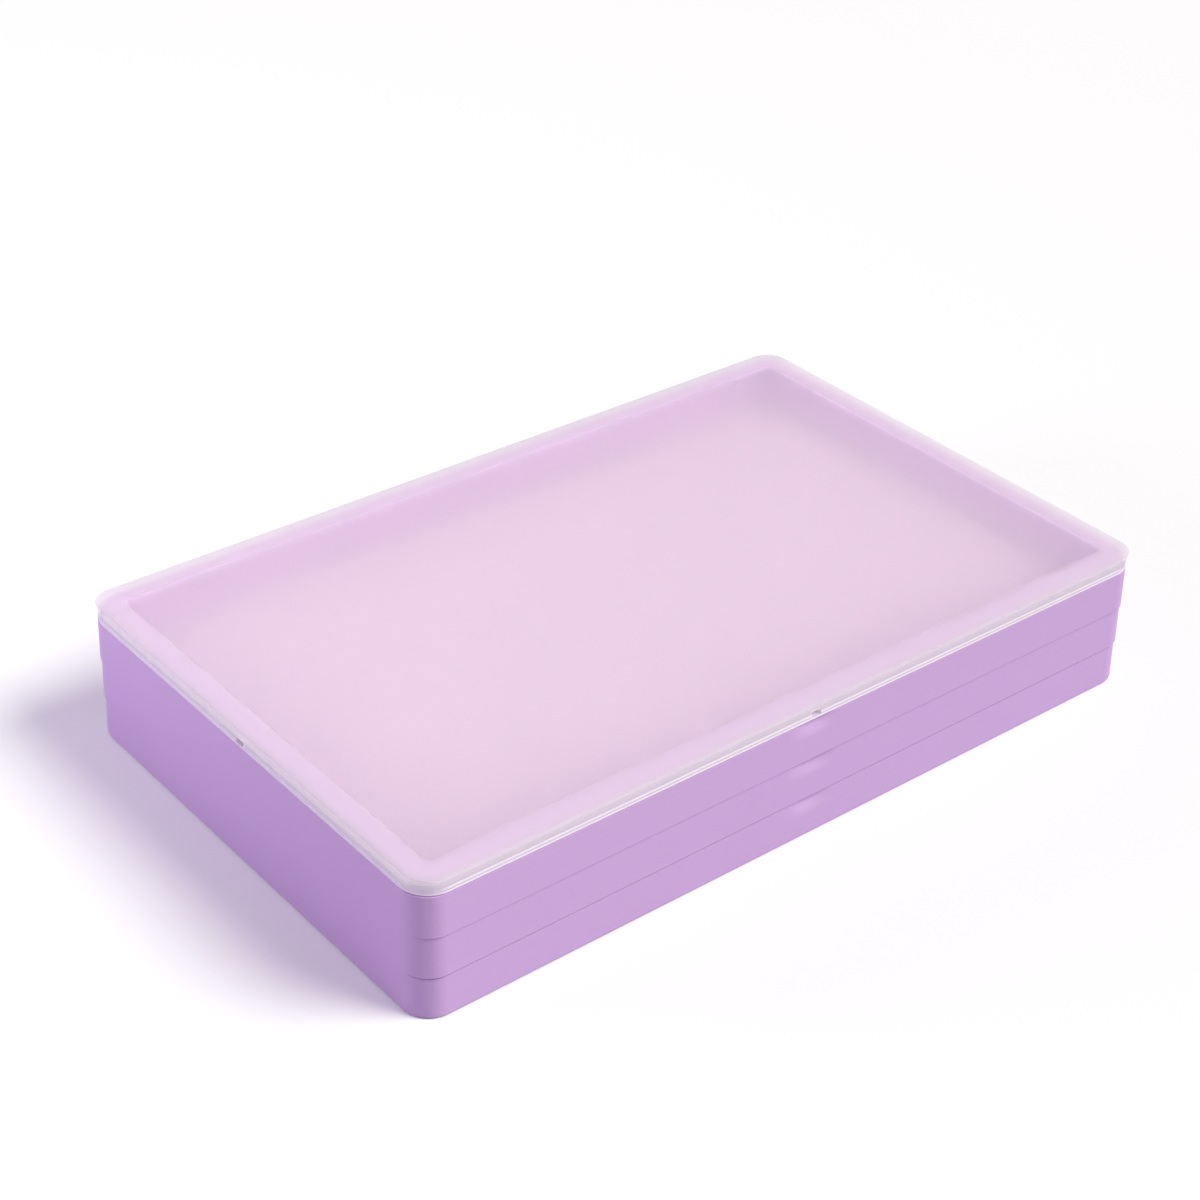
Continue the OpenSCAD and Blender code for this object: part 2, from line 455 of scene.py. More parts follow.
@dataclass(frozen=True)
class SealSilicone(Finish):
    """Matt silicone with a dusty bloom."""

    name: str = "seal_silicone"
    colour: Colour = (0.72, 0.61, 0.80)
    bloom: float = 0.07
    bloom_size: float = 0.006
    bloom_roughness: float = 0.2
    roughness: float = 0.58
    skin: float = 0.0003
    skin_depth: float = 0.00001

    def dress(self, graph: Graph) -> None:
        """Fills the material's graph.

        Args:
            graph: the empty graph.
        """
        bloom = graph.speckle(self.bloom_size, detail=4)
        graph.surface(
            Base_Color=graph.varied(bloom, self.colour, self.bloom),
            Roughness=self.roughness + self.bloom_roughness * (bloom - 0.5),
            Normal=graph.bump(graph.speckle(self.skin), self.skin_depth),
            IOR=1.41,
            Subsurface_Weight=0.3,
            Subsurface_Scale=0.0015,
        )


@dataclass(frozen=True)
class SpongeFoam(Finish):
    """Fine open-cell foam: round pores of two sizes in a soft skin, with painted shade in the pores' hollows.
    """

    name: str = "sponge_foam"
    colour: Colour = (0.80, 0.72, 0.62)
    pore: float = 0.0014
    pore_range: tuple[float, float] = (0.15, 0.6)
    pore_share: float = 0.65
    small_pore: float = 0.4
    small_range: tuple[float, float] = (0.1, 0.6)
    pore_shade: float = 0.62
    pore_depth: float = 0.0005
    damp_size: float = 0.03
    damp_shades: tuple[float, float] = (0.92, 1.05)
    roughness: float = 0.9
    damp_gloss: float = 0.15

    def dress(self, graph: Graph) -> None:
        """Fills the material's graph.

        Args:
            graph: the empty graph.
        """
        large = graph.cells(self.pore).ramp(*self.pore_range)
        small = graph.cells(self.pore * self.small_pore).ramp(*self.small_range)
        walls = large * self.pore_share + small * (1 - self.pore_share)
        damp = graph.speckle(self.damp_size, detail=3)
        body = graph.mixed(damp, *(shade(self.colour, by) for by in self.damp_shades))
        # Painted shade: the pores' hollows are painted darker than the walls between them.
        graph.surface(
            Base_Color=graph.mixed(walls, shade(self.colour, self.pore_shade), body),
            Roughness=self.roughness - self.damp_gloss * damp,
            Normal=graph.bump(walls, self.pore_depth),
            Specular_IOR_Level=0.3,
        )


@dataclass(frozen=True)
class PaletteSheet(Finish):
    """Damp parchment paper: fine fibres, and over each of the sponge's crests a faint painted highlight with
    a painted shadow line beside it.

    Args:
        pitch: how far apart the painted crest lines are.
    """

    pitch: float
    name: str = "palette_sheet"
    colour: Colour = (0.60, 0.465, 0.60)
    crest_line_w: float = 0.0016
    highlight_core: float = 0.4
    painted_light_share: float = 0.5
    crest_highlight: float = 1.1
    shadow_off: float = 1.5
    shadow_range: tuple[float, float] = (0.2, 0.8)
    shadow_dark: float = 0.86
    fibre: float = 0.0007
    fibre_stretch: Place = (0.35, 1.0, 1.0)
    fibre_depth: float = 0.00004
    fibre_roughness: float = 0.2
    damp: float = 0.025
    damp_size: float = 0.04
    damp_gloss: float = 0.12
    roughness: float = 0.62

    def dress(self, graph: Graph) -> None:
        """Fills the material's graph.

        Args:
            graph: the empty graph.
        """
        lengthwise = graph.stretched(self.fibre_stretch)
        fibres = graph.speckle(self.fibre, detail=5, roughness=0.65, place=lengthwise)
        damp = graph.speckle(self.damp_size, detail=3)
        # Painted light: along each crest a lighter line stands in for its highlight, and a darker line beside
        # it for its shade.
        across = graph.axis("Y").wrapped(-self.pitch / 2, self.pitch / 2)
        light = 1 - abs(across).ramp(self.crest_line_w * self.highlight_core, self.crest_line_w)
        beside = abs(across - self.crest_line_w * self.shadow_off)
        painted_shadow_line = 1 - beside.ramp(*(self.crest_line_w * share for share in self.shadow_range))
        body = graph.varied(damp, self.colour, self.damp)
        with_painted_shadow = graph.mixed(painted_shadow_line * self.painted_light_share, body, shade(self.colour, self.shadow_dark))
        graph.surface(
            Base_Color=graph.mixed(light * self.painted_light_share, with_painted_shadow, shade(self.colour, self.crest_highlight)),
            Roughness=self.roughness + self.fibre_roughness * (fibres - 0.5) - self.damp_gloss * damp,
            Normal=graph.bump(fibres, self.fibre_depth),
            Specular_IOR_Level=0.35,
        )


@dataclass(frozen=True)
class StudioWhite(Finish):
    """The table under the palette: plain white where the camera sees it, and a dim lilac in the light that it
    throws back, which darkens and tints the palette's lower sides.
    """

    name: str = "studio_white"
    seen: Colour = (0.97, 0.99, 0.96)
    bounced: Colour = (0.49, 0.44, 0.56)
    roughness: float = 0.9
    gloss: float = 0.1

    def dress(self, graph: Graph) -> None:
        """Fills the material's graph.

        Args:
            graph: the empty graph.
        """
        straight = graph.node("ShaderNodeLightPath", out="Is Camera Ray")
        # Bounced light is dimmed and tinted lilac here, which sets the fill on the palette's shaded sides.
        graph.surface(Base_Color=graph.mixed(straight, self.bounced, self.seen), Roughness=self.roughness,
                      Specular_IOR_Level=self.gloss)


# ---------------------------------------------------------------- mesh building


@dataclass(frozen=True)
class Level:
    """A rounded rectangle at a height, one level of a lofted shell.

    Args:
        x: half its length.
        y: half its width.
        r: its corner radius.
        z: its height.
        soft: the rounding of the shell's edge along it, 0 for none.
    """

    x: float
    y: float
    r: float
    z: float
    soft: float = 0.0

    def sheet(self, bm: bmesh.types.BMesh) -> bmesh.types.BMFace:
        """Adds the level to a mesh as one face.

        Args:
            bm: the mesh.

        Returns:
            The face.
        """
        place = Matrix.Translation((0, 0, self.z)) @ Matrix.Diagonal((self.x, self.y, 1, 1))
        corners = bmesh.ops.create_grid(bm, x_segments=1, y_segments=1, size=1.0, matrix=place)["verts"]
        bmesh.ops.bevel(bm, geom=corners, offset=self.r, offset_type="OFFSET", segments=CORNER_STEPS,
                        profile=0.5, affect="VERTICES", material=-1, clamp_overlap=True)
        bm.faces.ensure_lookup_table()
        return bm.faces[-1]

    def corner(self, point: Vector) -> Vector:
        """The centre of the corner that is nearest to a point."""
        along, across = math.copysign(self.x - self.r, point.x), math.copysign(self.y - self.r, point.y)
        return Vector((along, across, self.z))

    def moved(self, point: Vector, after: "Level") -> Vector:
        """Where a point of this outline goes on another level's."""
        return after.corner(point) + (point - self.corner(point)) * (after.r / self.r)


@dataclass(frozen=True)
class Plan:
    """The outline that the trays and the lid share.

    Args:
        centre_x: how far the corners' centres lie from the middle, along the length.
        centre_y: the same across the width.
    """

    centre_x: float
    centre_y: float

    def at(self, out: float, z: float, soft: float = 0.0) -> Level:
        """The level whose outline runs a distance outwards from the corners' centres."""
        return Level(self.centre_x + out, self.centre_y + out, out, z, soft)


def bevelled(bm: bmesh.types.BMesh, edges: Iterable[bmesh.types.BMEdge], soft: float, steps: int = 3) -> None:
    """Rounds edges of a mesh by a radius."""
    bmesh.ops.bevel(bm, geom=list(edges), offset=soft, offset_type="OFFSET", segments=steps, profile=0.5,
                    affect="EDGES", material=-1, clamp_overlap=True, loop_slide=True)


def lofted(levels: Sequence[Level], closed: bool = False) -> bmesh.types.BMesh:
    """A shell through levels, made by extruding the first from level to level.

    Args:
        levels: the levels in order along the shell's skin.
        closed: True where the last level joins the first, as in a ring; otherwise both get a cap.

    Returns:
        The shell, with its normals outwards.
    """
    bm = bmesh.new()
    face = levels[0].sheet(bm)
    loops, spent = [list(face.edges)], []
    stations = list(levels) + ([levels[0]] if closed else [])
    for before, after in zip(stations, stations[1:]):
        spent.append(face)
        moved = bmesh.ops.extrude_face_region(bm, geom=[face])["geom"]
        face = next(part for part in moved if isinstance(part, bmesh.types.BMFace))
        for vert in face.verts:
            vert.co = before.moved(vert.co, after)
        loops.append(list(face.edges))
    spent = [*spent, face] if closed else spent[1:]
    bmesh.ops.delete(bm, geom=spent, context="FACES_ONLY")
    if closed:
        bmesh.ops.remove_doubles(bm, verts=bm.verts[:], dist=MERGE)
    for level, loop in zip(levels, loops):
        if level.soft:
            bevelled(bm, loop, level.soft)
    bmesh.ops.recalc_face_normals(bm, faces=bm.faces[:])
    return bm


def block(bm: bmesh.types.BMesh, low: Vector, high: Vector, soft: float = 0.0) -> None:
    """Adds a block to a mesh.

    Args:
        bm: the mesh.
        low: the block's lower corner.
        high: its opposite corner.
        soft: the rounding of its edges, 0 for none.
    """
    place = Matrix.Translation((low + high) / 2) @ Matrix.Diagonal((*(high - low), 1))
    corners = bmesh.ops.create_cube(bm, size=1.0, matrix=place)["verts"]
    if soft:
        edges = dict.fromkeys(edge for corner in corners for edge in corner.link_edges)
        bevelled(bm, edges, soft, steps=2)


def side_blocks(bm: bmesh.types.BMesh, plan: Plan, reach: tuple[float, float], heights: tuple[float, float],
                length: float, soft: float = 0.0) -> None:
    """Adds a block to the middle of each of an outline's four sides.

    Args:
        bm: the mesh that gets the blocks.
        plan: the outline.
        reach: how far out the blocks start and end, either first.
        heights: the heights that they start and end at.
        length: a block's length along its side.
        soft: the rounding of its edges, 0 for none.
    """
    half = length / 2
    for side in (-1, 1):
        ends = sorted(side * (plan.centre_y + out) for out in reach)
        block(bm, Vector((-half, ends[0], heights[0])), Vector((half, ends[1], heights[1])), soft)
        ends = sorted(side * (plan.centre_x + out) for out in reach)
        block(bm, Vector((ends[0], -half, heights[0])), Vector((ends[1], half, heights[1])), soft)


def made_object(name: str, bm: bmesh.types.BMesh) -> bpy.types.Object:
    """Turns a mesh into an object in the scene.

    Args:
        name: the object's name.
        bm: the mesh, which is used up.

    Returns:
        The object.
    """
    mesh = bpy.data.meshes.new(name)
    bm.to_mesh(mesh)
    bm.free()
    made = bpy.data.objects.new(name, mesh)
    bpy.context.scene.collection.objects.link(made)
    return made


def applied(piece: bpy.types.Object) -> None:
    """Applies a piece's modifiers to its mesh.

    Args:
        piece: the piece.
    """
    graph = bpy.context.evaluated_depsgraph_get()
    mesh = bpy.data.meshes.new_from_object(piece.evaluated_get(graph))
    old = piece.data
    piece.modifiers.clear()
    piece.data = mesh
    bpy.data.meshes.remove(old)
    mesh.name = piece.name


def joined(piece: bpy.types.Object, tool: bmesh.types.BMesh, join: Join) -> None:
    """Fuses a mesh to a piece, or cuts it out of the piece.

    Args:
        piece: the piece.
        tool: the closed mesh, which is used up.
        join: whether it is fused or cuts.
    """
    cutter = made_object("tool", tool)
    boolean = piece.modifiers.new("join", "BOOLEAN")
    boolean.operation = join.value
    boolean.solver = "EXACT"
    boolean.object = cutter
    applied(piece)
    mesh = cutter.data
    bpy.data.objects.remove(cutter)
    bpy.data.meshes.remove(mesh)


def finished(piece: bpy.types.Object, body: Body, slot: Slot, material: bpy.types.Material,
             node: str) -> bpy.types.Object:
    """Dresses a piece and lets it stand for its node.

    Args:
        piece: the piece, in place.
        body: the body that it rides on.
        slot: the record's material slot; not used.
        material: its finish.
        node: the node that it replaces.

    Returns:
        The piece.
    """
    piece.data.shade_smooth()
    piece.data.set_sharp_from_angle(angle=CREASE)
    weighted = piece.modifiers.new("weighted_normals", "WEIGHTED_NORMAL")
    weighted.keep_sharp = True
    piece.data.materials.clear()
    piece.data.materials.append(material)
    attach(piece, body.value)
    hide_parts(node)
    log.info("%s: %d faces on %s", piece.name, len(piece.data.polygons), body.value)
    return piece


# ---------------------------------------------------------------- the tiers


@dataclass
class Tray:
    """One tray of the stack: a hollow rim with a neck above it, and a well that nests in the next.

    Sizes are in metres, and those named out run outwards from the line of the corners' centres.

    Args:
        body: the body that it rides on.
        plastic: its finish.
        edge_r: the rounding of its lower outer edge.
    """

    body: Body
    plastic: bpy.types.Material
    edge_r: float
    neck_h: float = 4.75 * MM
    corner_r: float = 9.8 * MM
    draft: float = 0.45 * MM
    seam_h: float = 0.35 * MM
    seam_d: float = 0.6 * MM
    rim_w: float = 9.4 * MM
    rim_t: float = 2 * MM
    ledge_t: float = 2 * MM
    lead_in: float = 0.5 * MM
    socket_out: float = 8.0 * MM
    neck_out: float = 7.6 * MM
    neck_t: float = 2 * MM
    wall_t: float = 1.8 * MM
    well_r: float = 2 * MM
    nest_gap: float = 0.8 * MM
    floor_lift: float = 1 * MM
    floor_t: float = 2 * MM
    groove_z: float = 1.9 * MM
    groove_h: float = 1.6 * MM
    groove_d: float = 0.9 * MM
    ribs: int = 5
    rib_pitch: float = 25.1 * MM
    rib_w: float = 2 * MM
    rib_h: float = 0.8 * MM
    rib_end_gap: float = 12 * MM
    rib_bite: float = 0.3 * MM
    rib_soft: float = 0.25 * MM
    long_gussets: int = 6
    short_gussets: int = 4
    gusset_t: float = 1.2 * MM
    gusset_z: float = 5.15 * MM
    gusset_bite: float = 0.1 * MM
    catch_l: float = 16 * MM
    catch_h: float = 0.8 * MM
    catch_out: float = 0.2 * MM
    catch_bite: float = 0.4 * MM
    catch_soft: float = 0.06 * MM
    nub_z: float = 0.9 * MM
    nub_h: float = 0.6 * MM
    nub_out: float = 0.15 * MM
    scallop_w: float = 24 * MM
    scallop_h: float = 7 * MM
    scallop_depth: float = 1.4 * MM
    scallop_columns: int = 24
    scallop_rows: int = 10
    foot_soft: float = 0.8 * MM
    floor_soft: float = 1 * MM
    broad_soft: float = 0.5 * MM
    medium_soft: float = 0.3 * MM
    small_soft: float = 0.2 * MM
    fine_soft: float = 0.1 * MM

    @property
    def node(self) -> str:
        """The name of the tray's node."""
        return f"{self.body.value}_tray"

    def __post_init__(self) -> None:
        """Takes the tray's place and overall size from the frame."""
        low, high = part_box(self.node)
        self.z = low.z
        self.rim_z = high.z
        self.shoulder_z = high.z - self.neck_h
        top_x, top_y = high.x - self.draft, high.y - self.draft
        self.plan = Plan(top_x - self.corner_r, top_y - self.corner_r)
        self.mouth_x, self.mouth_y = top_x - self.rim_w, top_y - self.rim_w
        self.slope = (self.wall_t + self.nest_gap) / (self.shoulder_z - self.z)
        self.floor_z = self.z + self.floor_lift + self.floor_t

    def well_level(self, z: float, grow: float = 0.0, soft: float = 0.0) -> Level:
        """The well's outline at a height, with a wall's thickness added."""
        lean = self.slope * (self.rim_z - z)
        return Level(self.mouth_x - lean + grow, self.mouth_y - lean + grow, self.well_r, z, soft)

    def shell_levels(self) -> list[Level]:
        """The tray's skin, from the middle of its underside round the outside to its floor.

        Returns:
            The levels in order.
        """
        at, shoulder, rim = self.plan.at, self.shoulder_z, self.rim_z
        broad, small, fine = self.broad_soft, self.small_soft, self.fine_soft
        neck, groove = self.neck_out, self.neck_out - self.groove_d
        hollow = self.neck_out - self.neck_t
        low_groove = shoulder + self.groove_z
        high_groove = low_groove + self.groove_h
        return [
            self.well_level(self.z + self.floor_lift, self.wall_t, self.foot_soft),
            self.well_level(rim - self.rim_t, self.wall_t, self.medium_soft),
            at(hollow, rim - self.rim_t, broad),
            at(hollow, shoulder - self.ledge_t),
            at(self.socket_out, shoulder - self.ledge_t, broad),
            at(self.socket_out, self.z, small),
            at(self.corner_r + self.draft, self.z, self.edge_r),
            at(self.corner_r, shoulder - self.seam_h, fine),
            at(self.corner_r - self.seam_d, shoulder - self.seam_h),
            at(self.corner_r - self.seam_d, shoulder, fine),
            at(neck, shoulder, fine),
            at(neck, low_groove, fine),
            at(groove, low_groove),
            at(groove, high_groove),
            at(neck, high_groove, fine),
            at(neck, rim - self.lead_in, small),
            at(neck - self.lead_in, rim, small),
            self.well_level(rim, soft=broad),
            self.well_level(self.floor_z, soft=self.floor_soft),
        ]

    def gussets(self, bm: bmesh.types.BMesh) -> None:
        """Adds the plates that stiffen the hollow rim from below.

        Args:
            bm: the mesh that gets them.
        """
        low, high = self.z + self.gusset_z, self.shoulder_z - self.ledge_t / 2
        inside = self.well_level(low, self.wall_t)
        outside = self.plan.at(self.socket_out, low)
        bite, half = self.gusset_bite, self.gusset_t / 2
        for side in (-1, 1):
            for i in range(self.long_gussets):
                x = (i - (self.long_gussets - 1) / 2) * 2 * self.plan.centre_x / self.long_gussets
                ends = sorted((side * (inside.y - bite), side * (outside.y + bite)))
                block(bm, Vector((x - half, ends[0], low)), Vector((x + half, ends[1], high)))
            for i in range(self.short_gussets):
                y = (i - (self.short_gussets - 1) / 2) * 2 * self.plan.centre_y / self.short_gussets
                ends = sorted((side * (inside.x - bite), side * (outside.x + bite)))
                block(bm, Vector((ends[0], y - half, low)), Vector((ends[1], y + half, high)))

    def floor_ribs(self, bm: bmesh.types.BMesh) -> None:
        """Adds the ribs along the floor, which keep water under the whole sponge.

        Args:
            bm: the mesh that gets them.
        """
        reach = self.well_level(self.floor_z).x - self.rib_end_gap
        low, high = self.floor_z - self.rib_bite, self.floor_z + self.rib_h
        for i in range(self.ribs):
            y = (i - (self.ribs - 1) / 2) * self.rib_pitch
            block(bm, Vector((-reach, y - self.rib_w / 2, low)), Vector((reach, y + self.rib_w / 2, high)),
                  self.rib_soft)

    def skirt_beads(self, bm: bmesh.types.BMesh, z: float) -> None:
        """Adds the catch beads inside the bottom of a skirt, the tray's own or the lid's.

        Args:
            bm: the mesh that gets them.
            z: the height of the skirt's lower edge.
        """
        reach = self.socket_out - self.catch_out, self.socket_out + self.catch_bite
        side_blocks(bm, self.plan, reach, (z, z + self.catch_h), self.catch_l, self.catch_soft)

    def neck_nubs(self, bm: bmesh.types.BMesh) -> None:
        """Adds the nubs round the neck, which the next tier's beads pass.

        Args:
            bm: the mesh that gets them.
        """
        reach = self.neck_out - self.catch_bite, self.neck_out + self.nub_out
        low = self.shoulder_z + self.nub_z
        side_blocks(bm, self.plan, reach, (low, low + self.nub_h), self.catch_l, self.catch_soft)

    def scallop(self, bm: bmesh.types.BMesh) -> None:
        """Presses the thumb scallop, a soft dish, into the top edge of the front wall's middle.

        Args:
            bm: the tray's shell.
        """
        inside_skin = 0.5 * MM
        skin = -(self.plan.centre_y + self.socket_out + inside_skin)
        half, low = self.scallop_w / 2, self.shoulder_z - self.scallop_h
        columns, rows = self.scallop_columns, self.scallop_rows
        cuts = [(Vector((half * (2 * i / columns - 1), 0, 0)), Vector((1, 0, 0))) for i in range(columns + 1)]
        cuts += [(Vector((0, 0, low + self.scallop_h * i / rows)), Vector((0, 0, 1))) for i in range(rows)]
        for point, normal in cuts:
            faces = [face for face in bm.faces if face.calc_center_median().y < skin]
            edges = dict.fromkeys(edge for face in faces for edge in face.edges)
            verts = dict.fromkeys(vert for face in faces for vert in face.verts)
            bmesh.ops.bisect_plane(bm, geom=[*verts, *edges, *faces], plane_co=point, plane_no=normal)
        for vert in bm.verts:
            off = vert.co.x / half
            rise = (vert.co.z - low) / self.scallop_h
            if vert.co.y < skin and abs(off) < 1 and rise > 0:
                across = 0.5 + 0.5 * math.cos(math.pi * off)
                vert.co.y += self.scallop_depth * across * math.sin(math.pi / 2 * min(1.0, rise)) ** 2

    def build(self) -> bpy.types.Object:
        """Builds the tray.

        Returns:
            The tray, riding on its body.
        """
        shell = lofted(self.shell_levels())
        self.scallop(shell)
        piece = made_object(f"{self.body.value}_tray_shell", shell)
        extras = bmesh.new()
        self.gussets(extras)
        self.floor_ribs(extras)
        self.skirt_beads(extras, self.z)
        self.neck_nubs(extras)
        joined(piece, extras, Join.FUSE)
        return finished(piece, self.body, Slot.TRAY, self.plastic, self.node)


@dataclass
class Seal:
    """The silicone ring in a neck's groove, with its round nose outwards.

    Args:
        tray: the tray whose neck it is on.
        silicone: its finish.
    """

    tray: Tray
    silicone: bpy.types.Material
    nose_back: float = 0.2 * MM
    nose_steps: int = 6
    groove_gap: float = 0.05 * MM
    flat: float = 0.04 * MM
    level_within: float = 0.01 * MM

    def build(self) -> bpy.types.Object:
        """Builds the seal.

        Returns:
            The seal, riding on its tray's body.
        """
        node = f"{self.tray.body.value}_seal"
        low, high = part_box(node)
        inner = self.tray.neck_out - self.tray.groove_d + self.groove_gap
        outer = self.tray.socket_out - self.nose_back
        nose = (high.z - low.z - self.flat) / 2
        at = self.tray.plan.at
        ring = lofted([at(inner, low.z), at(outer, low.z), at(outer, high.z), at(inner, high.z)], closed=True)
        nose_edges = [e for e in ring.edges if all(self.is_outer(v.co) for v in e.verts)
                      and abs(e.verts[0].co.z - e.verts[1].co.z) < self.level_within]
        bevelled(ring, nose_edges, nose, self.nose_steps)
        bmesh.ops.recalc_face_normals(ring, faces=ring.faces[:])
        piece = made_object(f"{self.tray.body.value}_seal_ring", ring)
        return finished(piece, self.tray.body, Slot.SEAL, self.silicone, node)

    def is_outer(self, point: Vector) -> bool:
        """Whether a point of the ring is on its outer face.

        Args:
            point: the point.

        Returns:
            True on the outer face.
        """
        plan = self.tray.plan
        away = Vector((max(0.0, abs(point.x) - plan.centre_x), max(0.0, abs(point.y) - plan.centre_y)))
        return away.length > self.tray.neck_out


@dataclass(frozen=True)
class Bedding:
    """How the sponge settles over the floor's ribs: low crests that the paper follows.

    Args:
        pitch: how far apart the ribs are.
        ribs: how many there are.
    """

    pitch: float
    ribs: int
    crest: float = 0.22 * MM
    spread: float = 2.6 * MM
    swell: float = 0.12 * MM
    swell_size: float = 60 * MM

    def dip(self, x: float, y: float) -> float:
        """How far the top lies under its highest crest at a place.

        Args:
            x: the place along the length.
            y: the place across the width.

        Returns:
            The depth.
        """
        middle = (self.ribs - 1) / 2
        i = min(max(round(y / self.pitch + middle), 0), self.ribs - 1)
        off = (y - (i - middle) * self.pitch) / self.spread
        crest = self.crest * math.exp(-off * off)
        wave = noise.noise(Vector((x, y, 0)) / self.swell_size)
        return self.crest - crest + self.swell * (0.5 - 0.5 * wave)

    def cuts_across(self, half: float) -> list[float]:
        """Where a slab needs lines along each crest, and between the crests.

        Args:
            half: half the slab's width.

        Returns:
            The lines' places across the width.
        """
        steps, margin = (-2.2, -1.3, -0.6, 0.0, 0.6, 1.3, 2.2), 1 * MM
        middle = (self.ribs - 1) / 2
        lines = [(i - middle) * self.pitch + s * self.spread for i in range(self.ribs) for s in steps]
        between = [(i - middle - 0.5) * self.pitch for i in range(self.ribs + 1)]
        return sorted(y for y in lines + between if abs(y) < half - margin)


def bedded_slab(level: Level, thickness: float, bedding: Bedding, strips: int,
                soft: float = 0.0) -> bmesh.types.BMesh:
    """A slab whose top follows the bedding.

    Args:
        level: the slab's outline, at the height of its highest crest.
        thickness: the slab's thickness.
        bedding: the crests.
        strips: how many strips the slab is cut into along its length.
        soft: the rounding of its edges, 0 for none.

    Returns:
        The slab.
    """
    steep = math.radians(60)
    bm = bmesh.new()
    level.sheet(bm)
    cuts = [(Vector((level.x * (2 * i / strips - 1), 0, 0)), Vector((1, 0, 0))) for i in range(1, strips)]
    cuts += [(Vector((0, y, 0)), Vector((0, 1, 0))) for y in bedding.cuts_across(level.y)]
    for point, normal in cuts:
        whole = [*bm.verts, *bm.edges, *bm.faces]
        bmesh.ops.bisect_plane(bm, geom=whole, plane_co=point, plane_no=normal)
    lower = bm.verts[:]
    bmesh.ops.extrude_face_region(bm, geom=bm.faces[:], use_keep_orig=True)
    bmesh.ops.translate(bm, verts=lower, vec=(0, 0, -thickness))
    if soft:
        rims = [e for e in bm.edges if len(e.link_faces) == 2 and e.calc_face_angle(0) > steep
                and abs(e.verts[0].co.z - e.verts[1].co.z) < thickness / 2]
        bevelled(bm, rims, soft)
    for vert in bm.verts:
        vert.co.z -= bedding.dip(vert.co.x, vert.co.y)
    bmesh.ops.recalc_face_normals(bm, faces=bm.faces[:])
    return bm


@dataclass
class Sponge:
    """The foam sheet that lies on the floor's ribs and feeds the paper.

    Args:
        tray: the tray that it lies in.
        foam: its finish.
        bedding: how it settles.
    """

    tray: Tray
    foam: bpy.types.Material
    bedding: Bedding
    edge_soft: float = 0.7 * MM
    strips: int = 26
    paper_gap: float = 0.02 * MM
    dip_room: float = 0.4 * MM

    def build(self) -> bpy.types.Object:
        """Builds the sponge.

        Returns:
            The sponge, riding on its tray's body.
        """
        node = f"{self.tray.body.value}_sponge"
        low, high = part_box(node)
        level = Level(high.x, high.y, self.tray.well_r, high.z - self.paper_gap)
        slab = bedded_slab(level, high.z - low.z - self.dip_room, self.bedding, self.strips, self.edge_soft)
        piece = made_object(f"{self.tray.body.value}_sponge_sheet", slab)
        finished(piece, self.tray.body, Slot.SPONGE, self.foam, node)
        return piece


@dataclass
class Paper:
    """The palette paper on the sponge.

    Args:
        tray: the tray that it lies in.
        parchment: its finish.
        bedding: how the sponge settles.
        sponge: the sponge that it rests on; not used.
    """

    tray: Tray
    parchment: bpy.types.Material
    bedding: Bedding
    sponge: bpy.types.Object
    strips: int = 32

    def build(self) -> bpy.types.Object:
        """Builds the paper.

        Returns:
            The paper, riding on its tray's body.
        """
        node = f"{self.tray.body.value}_paper"
        low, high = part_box(node)
        level = Level(high.x, high.y, self.tray.well_r, high.z)
        sheet = bedded_slab(level, high.z - low.z, self.bedding, self.strips)
        piece = made_object(f"{self.tray.body.value}_paper_sheet", sheet)
        finished(piece, self.tray.body, Slot.PAPER, self.parchment, node)
        return piece


